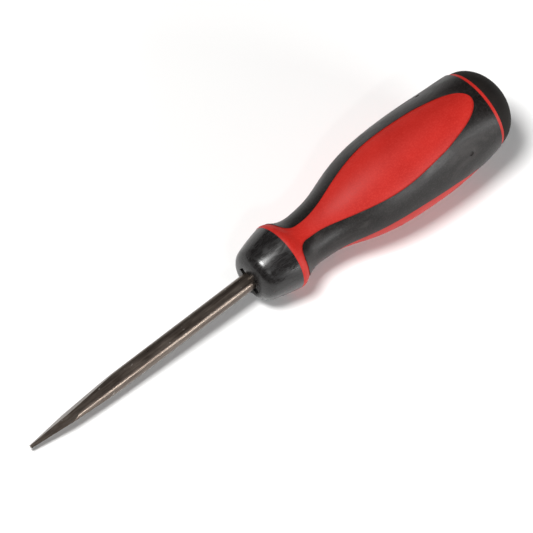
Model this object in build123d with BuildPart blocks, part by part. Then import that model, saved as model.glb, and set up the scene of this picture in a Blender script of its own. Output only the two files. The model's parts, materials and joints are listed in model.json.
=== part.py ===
from build123d import *

import os
from math import acos, cos, degrees, pi, radians, sin

# Scratch awl: a ground steel shank pressed into a three-sided moulded handle.
#
# Everything is drawn along the tool's own axis, X, with x = 0 at the front face of the nose, the point
# towards -X, the butt towards +X and one red window facing +Z. The last step lays the finished tool down
# on the floor, z = 0, where it rests on its belly and on the rear edge of its nose.

# ---- shank (mm) ----
shank_r = 3.0
exposed_length = 93.6
taper_start = -1.0  # from here the rod tapers to the tang, which presses cleanly into the core
tang_r = 2.95
tang_end = 62.0
tang_chamfer = 0.8
side_flat_length = 37.2  # the two long flats of the point
side_flat_tip = 0.50  # how far they stand from the axis at the tip
face_flat_length = 18.8  # the two short flats, a quarter turn from the long ones
face_flat_tip = 0.45
key_angle = -65.0  # turn from the upper window to the wings, the keyway and the long flats

# ---- wings pressed out of the tang, and the keyway that they slid along ----
wing_reach = 4.8
wing_front = 36.0
wing_back = 44.0
wing_slope = 1.4
key_width = 2.4

# ---- nose ----
nose_length = 13.0
nose_flat_r = 4.5
nose_corner_r = 5.3
nose_flank_angle = 17.0
nose_edge_r = 11.8
nose_bore_r = 3.15
spigot_r = 7.0
spigot_end = 20.0

# ---- butt: the red ring and the cap behind it follow one ellipse about the axis ----
dome_centre = 98.4
dome_length = 10.9
dome_r = 14.2
grip_end = 97.8  # where the rubber ends and the ring begins
cap_start = 99.1
cap_spigot_r = 9.0
cap_spigot_start = 92.0

# ---- handle: radius of the red surface at places along the axis ----
handle_outline = [
    (nose_length, nose_edge_r),
    (17.0, 10.53),
    (22.0, 8.88),
    (27.0, 8.96),
    (32.0, 9.59),
    (37.0, 10.89),
    (42.0, 12.51),
    (48.0, 14.12),
    (55.0, 15.36),
    (63.0, 16.02),
    (72.0, 16.26),
    (81.0, 16.05),
    (90.0, 15.36),
    (grip_end, 14.19),
]
lobe = 0.75  # how far a window's crown stands out, and a tongue's crown in, where the lobes are strongest
lobe_rise = 3  # the higher this is, the nearer to the butt that place lies
lobe_start = 22.2

# ---- rubber grip ----
grip_start = 16.0
grip_proud = 0.25  # how far the rubber stands out from the red surface
grip_lip = 0.5  # the same at its rear edge
grip_depth = 1.6  # how deep it is let into the red surface
lip_length = 6.0
overrun = 0.6  # how far a cutting shape runs past the ends of what it cuts

# ---- the three red windows ----
window_corner_r = 4.7
window_corner_x = 20.9
window_neck = 2.95  # half width at the neck
window_outline = [
    (25.0, 3.0),
    (31.5, 4.2),
    (40.2, 6.9),
    (50.9, 9.5),
    (62.4, 10.15),
    (74.5, 9.1),
]
window_tail_x = 70.7  # the rear end is part of an ellipse with its centre here
window_tail_length = 23.8
window_tail_half = 8.6
window_tail_turn = 56.0
window_floor = 2.0  # the cutting shapes start this far from the axis and reach past the rubber
window_reach = 20.0
gate_x = 84.3  # the rubber's moulding gate, on the middle of each tongue
gate_r = 0.8
gate_depth = 0.35
gate_crown_r = 15.3  # radius of the tongue's crown there

core_r = 6.0

# ---- how the tool lies ----
rest_pitch = 4.94  # point down, until the nose meets the floor
sides = (0.0, 120.0, 240.0)
tongue_turn = 60.0  # from a window's crown to the next tongue's


def facing(angle):
    """The plane through the axis that faces away from it at this turn from +Z, its own X along the tool."""
    return Plane(origin=(0, 0, 0), x_dir=(1, 0, 0), z_dir=(0, -sin(radians(angle)), cos(radians(angle))))


def lengthwise(angle):
    """The plane that holds the axis, its own X along the tool and its Y outwards at this turn from +Z."""
    return Plane(origin=(0, 0, 0), x_dir=(1, 0, 0), z_dir=(0, -cos(radians(angle)), -sin(radians(angle))))


def swell(x):
    """The lobes fade in behind the neck and fade out at the ring."""
    share = min(max((x - lobe_start) / (grip_end - lobe_start), 0.0), 1.0)
    return lobe * sin(pi * share**lobe_rise)


def section(x, radius):
    """The handle's cross-section: a circle that swells a little at the windows and flattens at the tongues."""
    with BuildSketch(Plane.YZ.offset(x)) as outline:
        with BuildLine():
            angles = [radians(30 * step) for step in range(12)]
            reach = [radius - swell(x) * sin(3 * angle) for angle in angles]
            Spline([(r * cos(a), r * sin(a)) for r, a in zip(reach, angles)], periodic=True)
        make_face()
    return outline.sketch


def skin(offset):
    """Cross-sections along the whole handle, this far out from the red surface."""
    return [section(x, radius + offset(x)) for x, radius in handle_outline]


def dome_turn(x):
    """Where the butt's ellipse passes x, as an angle round it from the butt's end."""
    return degrees(acos((x - dome_centre) / dome_length))


def proud(x):
    """How far the rubber stands out from the red surface: more at its rear lip."""
    into_lip = min(max((x - grip_end + lip_length) / lip_length, 0.0), 1.0)
    return grip_proud + (grip_lip - grip_proud) * into_lip


def window_half():
    """Half of a window's outline, seen square on, from in front of the grip to the window's rear end."""
    corner_y = window_neck + window_corner_r
    front = window_corner_x - window_corner_r
    Polyline((front - overrun, 0), (front - overrun, corner_y), (front, corner_y))
    CenterArc((window_corner_x, corner_y), window_corner_r, 180, 90)
    tail = EllipticalCenterArc(
        (window_tail_x, 0), window_tail_length, window_tail_half, 0, arc_size=window_tail_turn
    )
    Spline(
        [(window_corner_x, window_neck), *window_outline, tail @ 1],
        tangents=[(1, 0), (tail % 1) * -1],
    )


# ---- shank: rod, four-sided point, tang and wings ----
with BuildPart() as shank:
    with BuildSketch(Plane.XZ):
        with BuildLine():
            Polyline(
                (-exposed_length, 0),
                (-exposed_length, shank_r),
                (taper_start, shank_r),
                (0, tang_r),
                (tang_end - tang_chamfer, tang_r),
                (tang_end, tang_r - tang_chamfer),
                (tang_end, 0),
                close=True,
            )
        make_face()
    revolve(axis=Axis.X)
    for quarter, length, tip in ((0, side_flat_length, side_flat_tip), (90, face_flat_length, face_flat_tip)):
        slope = (shank_r - tip) / length
        with BuildSketch(lengthwise(key_angle + quarter)):
            with BuildLine():
                Polyline(
                    (-exposed_length - overrun, tip - slope * overrun),
                    (length - exposed_length, shank_r),
                    (length - exposed_length, shank_r + overrun),
                    (-exposed_length - overrun, shank_r + overrun),
                    close=True,
                )
            make_face()
            mirror(about=Plane.XZ)
        extrude(amount=2 * shank_r, both=True, mode=Mode.SUBTRACT)
    with BuildSketch(lengthwise(key_angle)):
        with BuildLine():
            Polyline(
                (wing_front - wing_slope, 0),
                (wing_front, wing_reach),
                (wing_back, wing_reach),
                (wing_back + wing_slope, 0),
                close=True,
            )
        make_face()
        mirror(about=Plane.XZ)
    extrude(amount=key_width / 2, both=True)

# ---- nose: rounded front, straight flank, spigot into the red body, keyed bore ----
with BuildPart() as nose:
    corner_end = radians(90 + nose_flank_angle)
    flank_x = nose_corner_r + nose_corner_r * cos(corner_end)
    flank_r = nose_flat_r + nose_corner_r * sin(corner_end)
    flank_slope = (cos(radians(nose_flank_angle)), sin(radians(nose_flank_angle)))
    with BuildSketch(Plane.XZ):
        with BuildLine():
            Line((0, nose_bore_r), (0, nose_flat_r))
            TangentArc((0, nose_flat_r), (flank_x, flank_r), tangent=(0, 1))
            TangentArc((flank_x, flank_r), (nose_length, nose_edge_r), tangent=flank_slope)
            Polyline(
                (nose_length, nose_edge_r),
                (nose_length, spigot_r),
                (spigot_end, spigot_r),
                (spigot_end, nose_bore_r),
                (0, nose_bore_r),
            )
        make_face()
    revolve(axis=Axis.X)
    with BuildSketch(facing(key_angle)):
        with Locations((-overrun, 0)):
            Rectangle(spigot_end + 2 * overrun, key_width, align=(Align.MIN, Align.CENTER))
    extrude(amount=wing_reach, both=True, mode=Mode.SUBTRACT)

# ---- core: holds the tang, with the keyway up to the back of the wings ----
with BuildPart() as core:
    with BuildSketch(Plane.YZ.offset(spigot_end)):
        Circle(core_r)
    extrude(amount=cap_spigot_start - spigot_end)
    with BuildSketch(Plane.YZ.offset(spigot_end)):
        Circle(tang_r)
    extrude(amount=tang_end - spigot_end, mode=Mode.SUBTRACT)
    with BuildSketch(facing(key_angle)):
        with Locations((spigot_end - overrun, 0)):
            Rectangle(wing_back + wing_slope - spigot_end + overrun, key_width, align=(Align.MIN, Align.CENTER))
    extrude(amount=wing_reach, both=True, mode=Mode.SUBTRACT)

# ---- the rubber's place in the handle: a skin with three window openings ----
with BuildPart() as rubber:
    loft(skin(proud))
    loft(skin(lambda x: -grip_depth), mode=Mode.SUBTRACT)
    split(bisect_by=Plane.YZ.offset(grip_start), keep=Keep.TOP)
    for side in sides:
        with BuildSketch(facing(side).offset(window_floor)):
            with BuildLine():
                window_half()
                mirror(about=Plane.XZ)
            make_face()
        extrude(amount=window_reach, mode=Mode.SUBTRACT)

# ---- grip: that skin with a gate mark on each tongue ----
with BuildPart() as grip:
    add(rubber.part)
    for side in sides:
        with BuildSketch(facing(side + tongue_turn).offset(gate_crown_r - gate_depth)):
            with Locations((gate_x, 0)):
                Circle(gate_r)
        extrude(amount=window_reach, mode=Mode.SUBTRACT)

# ---- red body: what the rubber, the nose, the core and the cap leave of the handle ----
with BuildPart() as red_body:
    loft(skin(lambda x: 0))
    add(rubber.part, mode=Mode.SUBTRACT)
    with BuildSketch(Plane.XZ):
        with BuildLine():
            turn = dome_turn(cap_start)
            ring = EllipticalCenterArc(
                (dome_centre, 0), dome_length, dome_r, turn, arc_size=dome_turn(grip_end) - turn
            )
            Polyline(ring @ 0, (cap_start, 0), (grip_end, 0), ring @ 1)
        make_face()
    revolve(axis=Axis.X)
    for start, end, radius in (
        (nose_length, spigot_end, spigot_r),
        (spigot_end, cap_spigot_start, core_r),
        (cap_spigot_start, cap_start, cap_spigot_r),
    ):
        with BuildSketch(Plane.YZ.offset(start)):
            Circle(radius)
        extrude(amount=end - start, mode=Mode.SUBTRACT)

# ---- cap: domed butt on a spigot ----
with BuildPart() as cap:
    with BuildSketch(Plane.XZ):
        with BuildLine():
            dome = EllipticalCenterArc((dome_centre, 0), dome_length, dome_r, 0, arc_size=dome_turn(cap_start))
            Polyline(
                dome @ 1,
                (cap_start, cap_spigot_r),
                (cap_spigot_start, cap_spigot_r),
                (cap_spigot_start, 0),
                dome @ 0,
            )
        make_face()
    revolve(axis=Axis.X)

# ---- lay the tool down and write each piece ----
os.makedirs("parts", exist_ok=True)
pieces = {"shank": shank, "nose": nose, "core": core, "grip": grip, "red_body": red_body, "cap": cap}
lying = Location((0, 0, 0), (0, -rest_pitch, 0))
room = Compound([piece.part.moved(lying) for piece in pieces.values()]).bounding_box()
lying = Location((-room.center().X, 0, -room.min.Z)) * lying
for name, piece in pieces.items():
    piece.part.label = name
    piece.part.locate(lying)
    export_step(piece.part, f"parts/{name}.step")
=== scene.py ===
import json
from math import cos, radians, sin

import bpy
from mathutils import Matrix, Vector

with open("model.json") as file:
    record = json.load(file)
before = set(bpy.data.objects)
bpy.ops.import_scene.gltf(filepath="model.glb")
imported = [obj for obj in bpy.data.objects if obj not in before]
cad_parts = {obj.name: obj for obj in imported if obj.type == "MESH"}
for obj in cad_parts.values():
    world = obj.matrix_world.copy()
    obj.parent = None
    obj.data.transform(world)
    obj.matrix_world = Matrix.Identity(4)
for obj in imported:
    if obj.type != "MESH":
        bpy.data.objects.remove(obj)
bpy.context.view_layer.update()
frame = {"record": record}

# ---- the tool's own axis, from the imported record's shank mount ----
MOUNT_TO_NOSE = 0.03949  # metres from the middle of the mount back to the nose's front face

mount = frame["record"]["mounts"][0]
axis = -Vector(mount["axis"]).normalized()
nose_front = Vector(mount["pos_m"]) + axis * MOUNT_TO_NOSE
tool_y = Vector((0, 1, 0))
tool_z = axis.cross(tool_y)


def place(x, y=0.0, z=0.0):
    """A point in the row's frame, given in millimetres behind the nose's front face."""
    return nose_front + (axis * x + tool_y * y + tool_z * z) / 1000


# ---- node helpers ----
def new_material(name, base, roughness, metallic=0.0, specular=0.5):
    """A material with the values that are the same all over, its node tree and its shader."""
    material = bpy.data.materials.new(name)
    material.use_nodes = True
    nodes = material.node_tree.nodes
    shader = nodes["Principled BSDF"]
    shader.inputs["Base Color"].default_value = (*base, 1)
    shader.inputs["Roughness"].default_value = roughness
    shader.inputs["Metallic"].default_value = metallic
    shader.inputs["Specular IOR Level"].default_value = specular
    material.diffuse_color = (*base, 1)
    return material, material.node_tree, shader


def tool_coordinates(tree):
    """Object coordinates in metres, with X along the tool and x = 0 at the nose's front face."""
    nodes, links = tree.nodes, tree.links
    texture = nodes.new("ShaderNodeTexCoord")
    mapping = nodes.new("ShaderNodeMapping")
    mapping.vector_type = "TEXTURE"
    mapping.inputs["Location"].default_value = nose_front
    turn = Matrix((axis, tool_y, tool_z)).transposed().to_euler()
    mapping.inputs["Rotation"].default_value = turn
    links.new(texture.outputs["Object"], mapping.inputs["Vector"])
    return mapping.outputs["Vector"]


def stretched(tree, vector, scale):
    """Coordinates scaled on each axis; a scale below 1 draws the pattern out along that axis."""
    mapping = tree.nodes.new("ShaderNodeMapping")
    mapping.inputs["Scale"].default_value = scale
    tree.links.new(vector, mapping.inputs["Vector"])
    return mapping.outputs["Vector"]


def noise(tree, vector, scale, detail=2.0, roughness=0.5, distortion=0.0):
    node = tree.nodes.new("ShaderNodeTexNoise")
    node.inputs["Scale"].default_value = scale
    node.inputs["Detail"].default_value = detail
    node.inputs["Roughness"].default_value = roughness
    node.inputs["Distortion"].default_value = distortion
    tree.links.new(vector, node.inputs["Vector"])
    return node.outputs["Fac"]


def ramp(tree, value, stops):
    """A colour ramp; each stop is (position, colour or grey)."""
    node = tree.nodes.new("ShaderNodeValToRGB")
    elements = node.color_ramp.elements
    while len(elements) < len(stops):
        elements.new(0.5)
    for element, (position, colour) in zip(elements, stops):
        element.position = position
        red, green, blue = colour if isinstance(colour, tuple) else (colour,) * 3
        element.color = (red, green, blue, 1)
    tree.links.new(value, node.inputs["Fac"])
    return node.outputs["Color"]


def scaled(tree, value, low, high, source_low, source_high):
    """The value moved from the source range to the range from low to high, and held inside it."""
    node = tree.nodes.new("ShaderNodeMapRange")
    node.inputs["From Min"].default_value = source_low
    node.inputs["From Max"].default_value = source_high
    node.inputs["To Min"].default_value = low
    node.inputs["To Max"].default_value = high
    tree.links.new(value, node.inputs["Value"])
    return node.outputs["Result"]


def blend(tree, factor, first, second):
    """A mix of two colours; each argument is a socket, a colour or a number."""
    node = tree.nodes.new("ShaderNodeMix")
    node.data_type = "RGBA"
    for label, value in (("Factor", factor), ("A", first), ("B", second)):
        socket = node.inputs[label]
        if isinstance(value, bpy.types.NodeSocket):
            tree.links.new(value, socket)
        elif isinstance(value, tuple):
            socket.default_value = (*value, 1)
        else:
            socket.default_value = value
    return node.outputs["Result"]


def bump(tree, shader, layers):
    """Bumps stacked on each other; each layer is (height, strength, distance in metres)."""
    normal = None
    for height, strength, distance in layers:
        node = tree.nodes.new("ShaderNodeBump")
        node.inputs["Strength"].default_value = strength
        node.inputs["Distance"].default_value = distance
        tree.links.new(height, node.inputs["Height"])
        if normal is not None:
            tree.links.new(normal, node.inputs["Normal"])
        normal = node.outputs["Normal"]
    tree.links.new(normal, shader.inputs["Normal"])


# ---- materials ----
def dark_steel():
    """Phosphated rod: brown-black, with fine lengthwise drawing lines and a few bare specks."""
    material, tree, shader = new_material(
        "dark_steel_finish", (0.11, 0.09, 0.075), roughness=0.32, metallic=0.85
    )
    vector = tool_coordinates(tree)
    lines = noise(tree, stretched(tree, vector, (0.04, 1, 1)), 2000, 3.0, 0.6)
    mottle = noise(tree, stretched(tree, vector, (0.35, 1, 1)), 420, 4.0, 0.6)
    specks = noise(tree, stretched(tree, vector, (0.4, 1, 1)), 1500, 1.0, 0.4)
    browns = [
        (0.3, (0.075, 0.055, 0.044)),
        (0.55, (0.105, 0.083, 0.069)),
        (0.75, (0.135, 0.11, 0.094)),
    ]
    tone = ramp(tree, mottle, browns)
    tone = blend(tree, scaled(tree, lines, 0.0, 0.7, 0.4, 0.68), tone, (0.19, 0.158, 0.132))
    bare = ramp(tree, specks, [(0.74, 0.0), (0.78, 1.0)])
    tone = blend(tree, bare, tone, (0.36, 0.33, 0.30))
    tree.links.new(tone, shader.inputs["Base Color"])
    tree.links.new(scaled(tree, mottle, 0.27, 0.4, 0.3, 0.7), shader.inputs["Roughness"])
    bump(tree, shader, [(lines, 0.35, 0.00003), (mottle, 0.25, 0.00005)])
    return material


def red_plastic():
    """Moulded plastic with a fine spark-eroded texture."""
    material, tree, shader = new_material(
        "red_plastic_finish", (0.43, 0.016, 0.01), roughness=0.55, specular=0.24
    )
    vector = tool_coordinates(tree)
    grain = noise(tree, vector, 1900, 4.0, 0.75)
    cloud = noise(tree, vector, 90, 3.0, 0.55)
    tone = ramp(tree, cloud, [(0.3, (0.385, 0.011, 0.007)), (0.7, (0.45, 0.0165, 0.011))])
    tone = blend(tree, scaled(tree, grain, 0.0, 0.6, 0.45, 0.7), tone, (0.54, 0.035, 0.025))
    tree.links.new(tone, shader.inputs["Base Color"])
    tree.links.new(scaled(tree, grain, 0.48, 0.62, 0.3, 0.7), shader.inputs["Roughness"])
    bump(tree, shader, [(grain, 0.4, 0.00007), (cloud, 0.15, 0.0001)])
    return material


def black_rubber():
    """Soft rubber skin: fine grain, handled and a little dusty."""
    material, tree, shader = new_material(
        "black_rubber_finish", (0.011, 0.0085, 0.008), roughness=0.45, specular=0.26
    )
    vector = tool_coordinates(tree)
    grain = noise(tree, vector, 1700, 4.0, 0.75)
    smear = noise(tree, stretched(tree, vector, (0.45, 1, 1)), 170, 5.0, 0.62, 0.6)
    cloud = noise(tree, vector, 60, 2.0, 0.5)
    blacks = [
        (0.38, (0.005, 0.0037, 0.0033)),
        (0.55, (0.0095, 0.0076, 0.007)),
        (0.7, (0.034, 0.03, 0.0285)),
    ]
    tone = ramp(tree, smear, blacks)
    tone = blend(tree, scaled(tree, grain, 0.0, 0.8, 0.48, 0.72), tone, (0.034, 0.03, 0.029))
    tree.links.new(tone, shader.inputs["Base Color"])
    tree.links.new(scaled(tree, smear, 0.34, 0.56, 0.35, 0.7), shader.inputs["Roughness"])
    bump(tree, shader, [(cloud, 0.4, 0.0004), (smear, 0.4, 0.00012), (grain, 0.45, 0.00007)])
    return material


def gloss_black():
    """Smooth moulded nose: glossy, with faint flow waves and handling scuffs."""
    material, tree, shader = new_material(
        "gloss_black_finish", (0.012, 0.011, 0.011), roughness=0.3
    )
    vector = tool_coordinates(tree)
    waves = noise(tree, stretched(tree, vector, (0.6, 1, 1)), 150, 2.0, 0.5, 0.4)
    scuffs = noise(tree, stretched(tree, vector, (0.25, 1, 1)), 700, 4.0, 0.65, 0.8)
    tone = ramp(tree, scuffs, [(0.45, (0.009, 0.008, 0.008)), (0.8, (0.025, 0.024, 0.024))])
    tree.links.new(tone, shader.inputs["Base Color"])
    tree.links.new(scaled(tree, scuffs, 0.24, 0.42, 0.4, 0.75), shader.inputs["Roughness"])
    bump(tree, shader, [(waves, 0.45, 0.0005), (scuffs, 0.15, 0.00005)])
    return material


def matte_black():
    """Butt cap: close-grained and dull."""
    material, tree, shader = new_material(
        "matte_black_finish", (0.009, 0.007, 0.006), roughness=0.8, specular=0.2
    )
    vector = tool_coordinates(tree)
    grain = noise(tree, vector, 2600, 3.0, 0.7)
    smear = noise(tree, vector, 130, 4.0, 0.6, 0.5)
    tone = ramp(tree, smear, [(0.35, (0.006, 0.0045, 0.004)), (0.7, (0.014, 0.011, 0.0095))])
    tree.links.new(tone, shader.inputs["Base Color"])
    tree.links.new(scaled(tree, smear, 0.72, 0.88, 0.3, 0.75), shader.inputs["Roughness"])
    bump(tree, shader, [(smear, 0.15, 0.0001), (grain, 0.4, 0.00006)])
    return material


def core_plastic():
    """Inner moulding, hidden inside the handle."""
    material, tree, shader = new_material(
        "core_plastic_finish", (0.08, 0.08, 0.08), roughness=0.5
    )
    vector = tool_coordinates(tree)
    cloud = noise(tree, vector, 120, 3.0, 0.6)
    tree.links.new(ramp(tree, cloud, [(0.3, 0.06), (0.7, 0.1)]), shader.inputs["Base Color"])
    bump(tree, shader, [(cloud, 0.2, 0.00006)])
    return material


finishes = {
    "shank": dark_steel(),
    "red_body": red_plastic(),
    "grip": black_rubber(),
    "nose": gloss_black(),
    "cap": matte_black(),
    "core": core_plastic(),
}

# ---- the CAD nodes keep their shape and take the finishes ----
for name, finish in finishes.items():
    node = bpy.data.objects[name]
    for slot in node.material_slots:
        slot.material = finish

# ---- stage: floor, camera and lights ----
FLOOR_SIZE = 6  # metres

bpy.ops.mesh.primitive_plane_add(size=FLOOR_SIZE, location=(0, 0, 0))
floor = bpy.context.object
floor.name = "floor"
paper = new_material("paper", (0.9, 0.9, 0.9), roughness=0.9, specular=0.1)[0]
floor.data.materials.append(paper)

view_pitch = 22.5  # the camera looks down the tool's axis by this much from square on
view_turn = 15.5  # and from this side of the upper window, towards -Y
image_angle = 37.19  # the tool's slope in the frame
distance = 2.5  # metres from the aim to the camera
lens = 526.8  # millimetres, on a 36 mm sensor
aim_behind = 7.81  # millimetres behind the nose's front face
aim_aside = 0.00035  # metres towards the upper left of the frame

to_camera = -axis * sin(radians(view_pitch)) + (
    tool_z * cos(radians(view_turn)) - tool_y * sin(radians(view_turn))
) * cos(radians(view_pitch))
along = (axis - to_camera * axis.dot(to_camera)).normalized()
across = along.cross(to_camera)
right = along * cos(radians(image_angle)) + across * sin(radians(image_angle))
up = along * sin(radians(image_angle)) - across * cos(radians(image_angle))

aim = place(aim_behind) - across * aim_aside
camera_data = bpy.data.cameras.new("camera")
camera_data.sensor_width = 36
camera_data.lens = lens
camera_data.clip_start = 0.1
camera = bpy.data.objects.new("camera", camera_data)
bpy.context.scene.collection.objects.link(camera)
turn = Matrix((right, up, to_camera)).transposed().to_4x4()
camera.matrix_world = Matrix.Translation(aim + to_camera * distance) @ turn
bpy.context.scene.camera = camera


light_target = place(40)  # on the axis, in the front half of the handle


def area_light(name, direction, reach, width, height, power, colour=(1, 1, 1)):
    """A soft box of this size, in metres and watts, that looks at the handle from this direction."""
    data = bpy.data.lights.new(name, "AREA")
    data.shape = "RECTANGLE"
    data.size = width
    data.size_y = height
    data.energy = power
    data.color = colour
    light = bpy.data.objects.new(name, data)
    bpy.context.scene.collection.objects.link(light)
    back = direction.normalized()
    side = axis.cross(back).normalized()
    turned = Matrix((back.cross(side), side, back)).transposed().to_4x4()
    light.matrix_world = Matrix.Translation(light_target + back * reach) @ turned


# the key stands on the upper left of the camera and throws the shadow to the lower right
key_direction = to_camera - across * 0.42
warm_white = (1.0, 0.995, 0.985)
area_light(
    "key", key_direction, reach=1.2, width=0.34, height=0.34, power=16.8, colour=warm_white
)

# a long strip beside the tool, for the sheen along the lower rubber tongue
strip_turn = radians(view_turn + 57)
strip_direction = tool_z * cos(strip_turn) - tool_y * sin(strip_turn) + axis * 0.42
area_light("strip", strip_direction, reach=0.6, width=0.44, height=0.05, power=2.7)

# a small fill from the lower right of the camera
front_direction = to_camera + across * 0.3
area_light("front", front_direction, reach=1.2, width=0.20, height=0.04, power=0.9)

world = bpy.data.worlds.new("studio")
bpy.context.scene.world = world
world.use_nodes = True
background = world.node_tree.nodes["Background"]
background.inputs["Color"].default_value = (1, 1, 1, 1)
background.inputs["Strength"].default_value = 0.035

scene = bpy.context.scene
scene.view_settings.view_transform = "Standard"
scene.view_settings.look = "None"
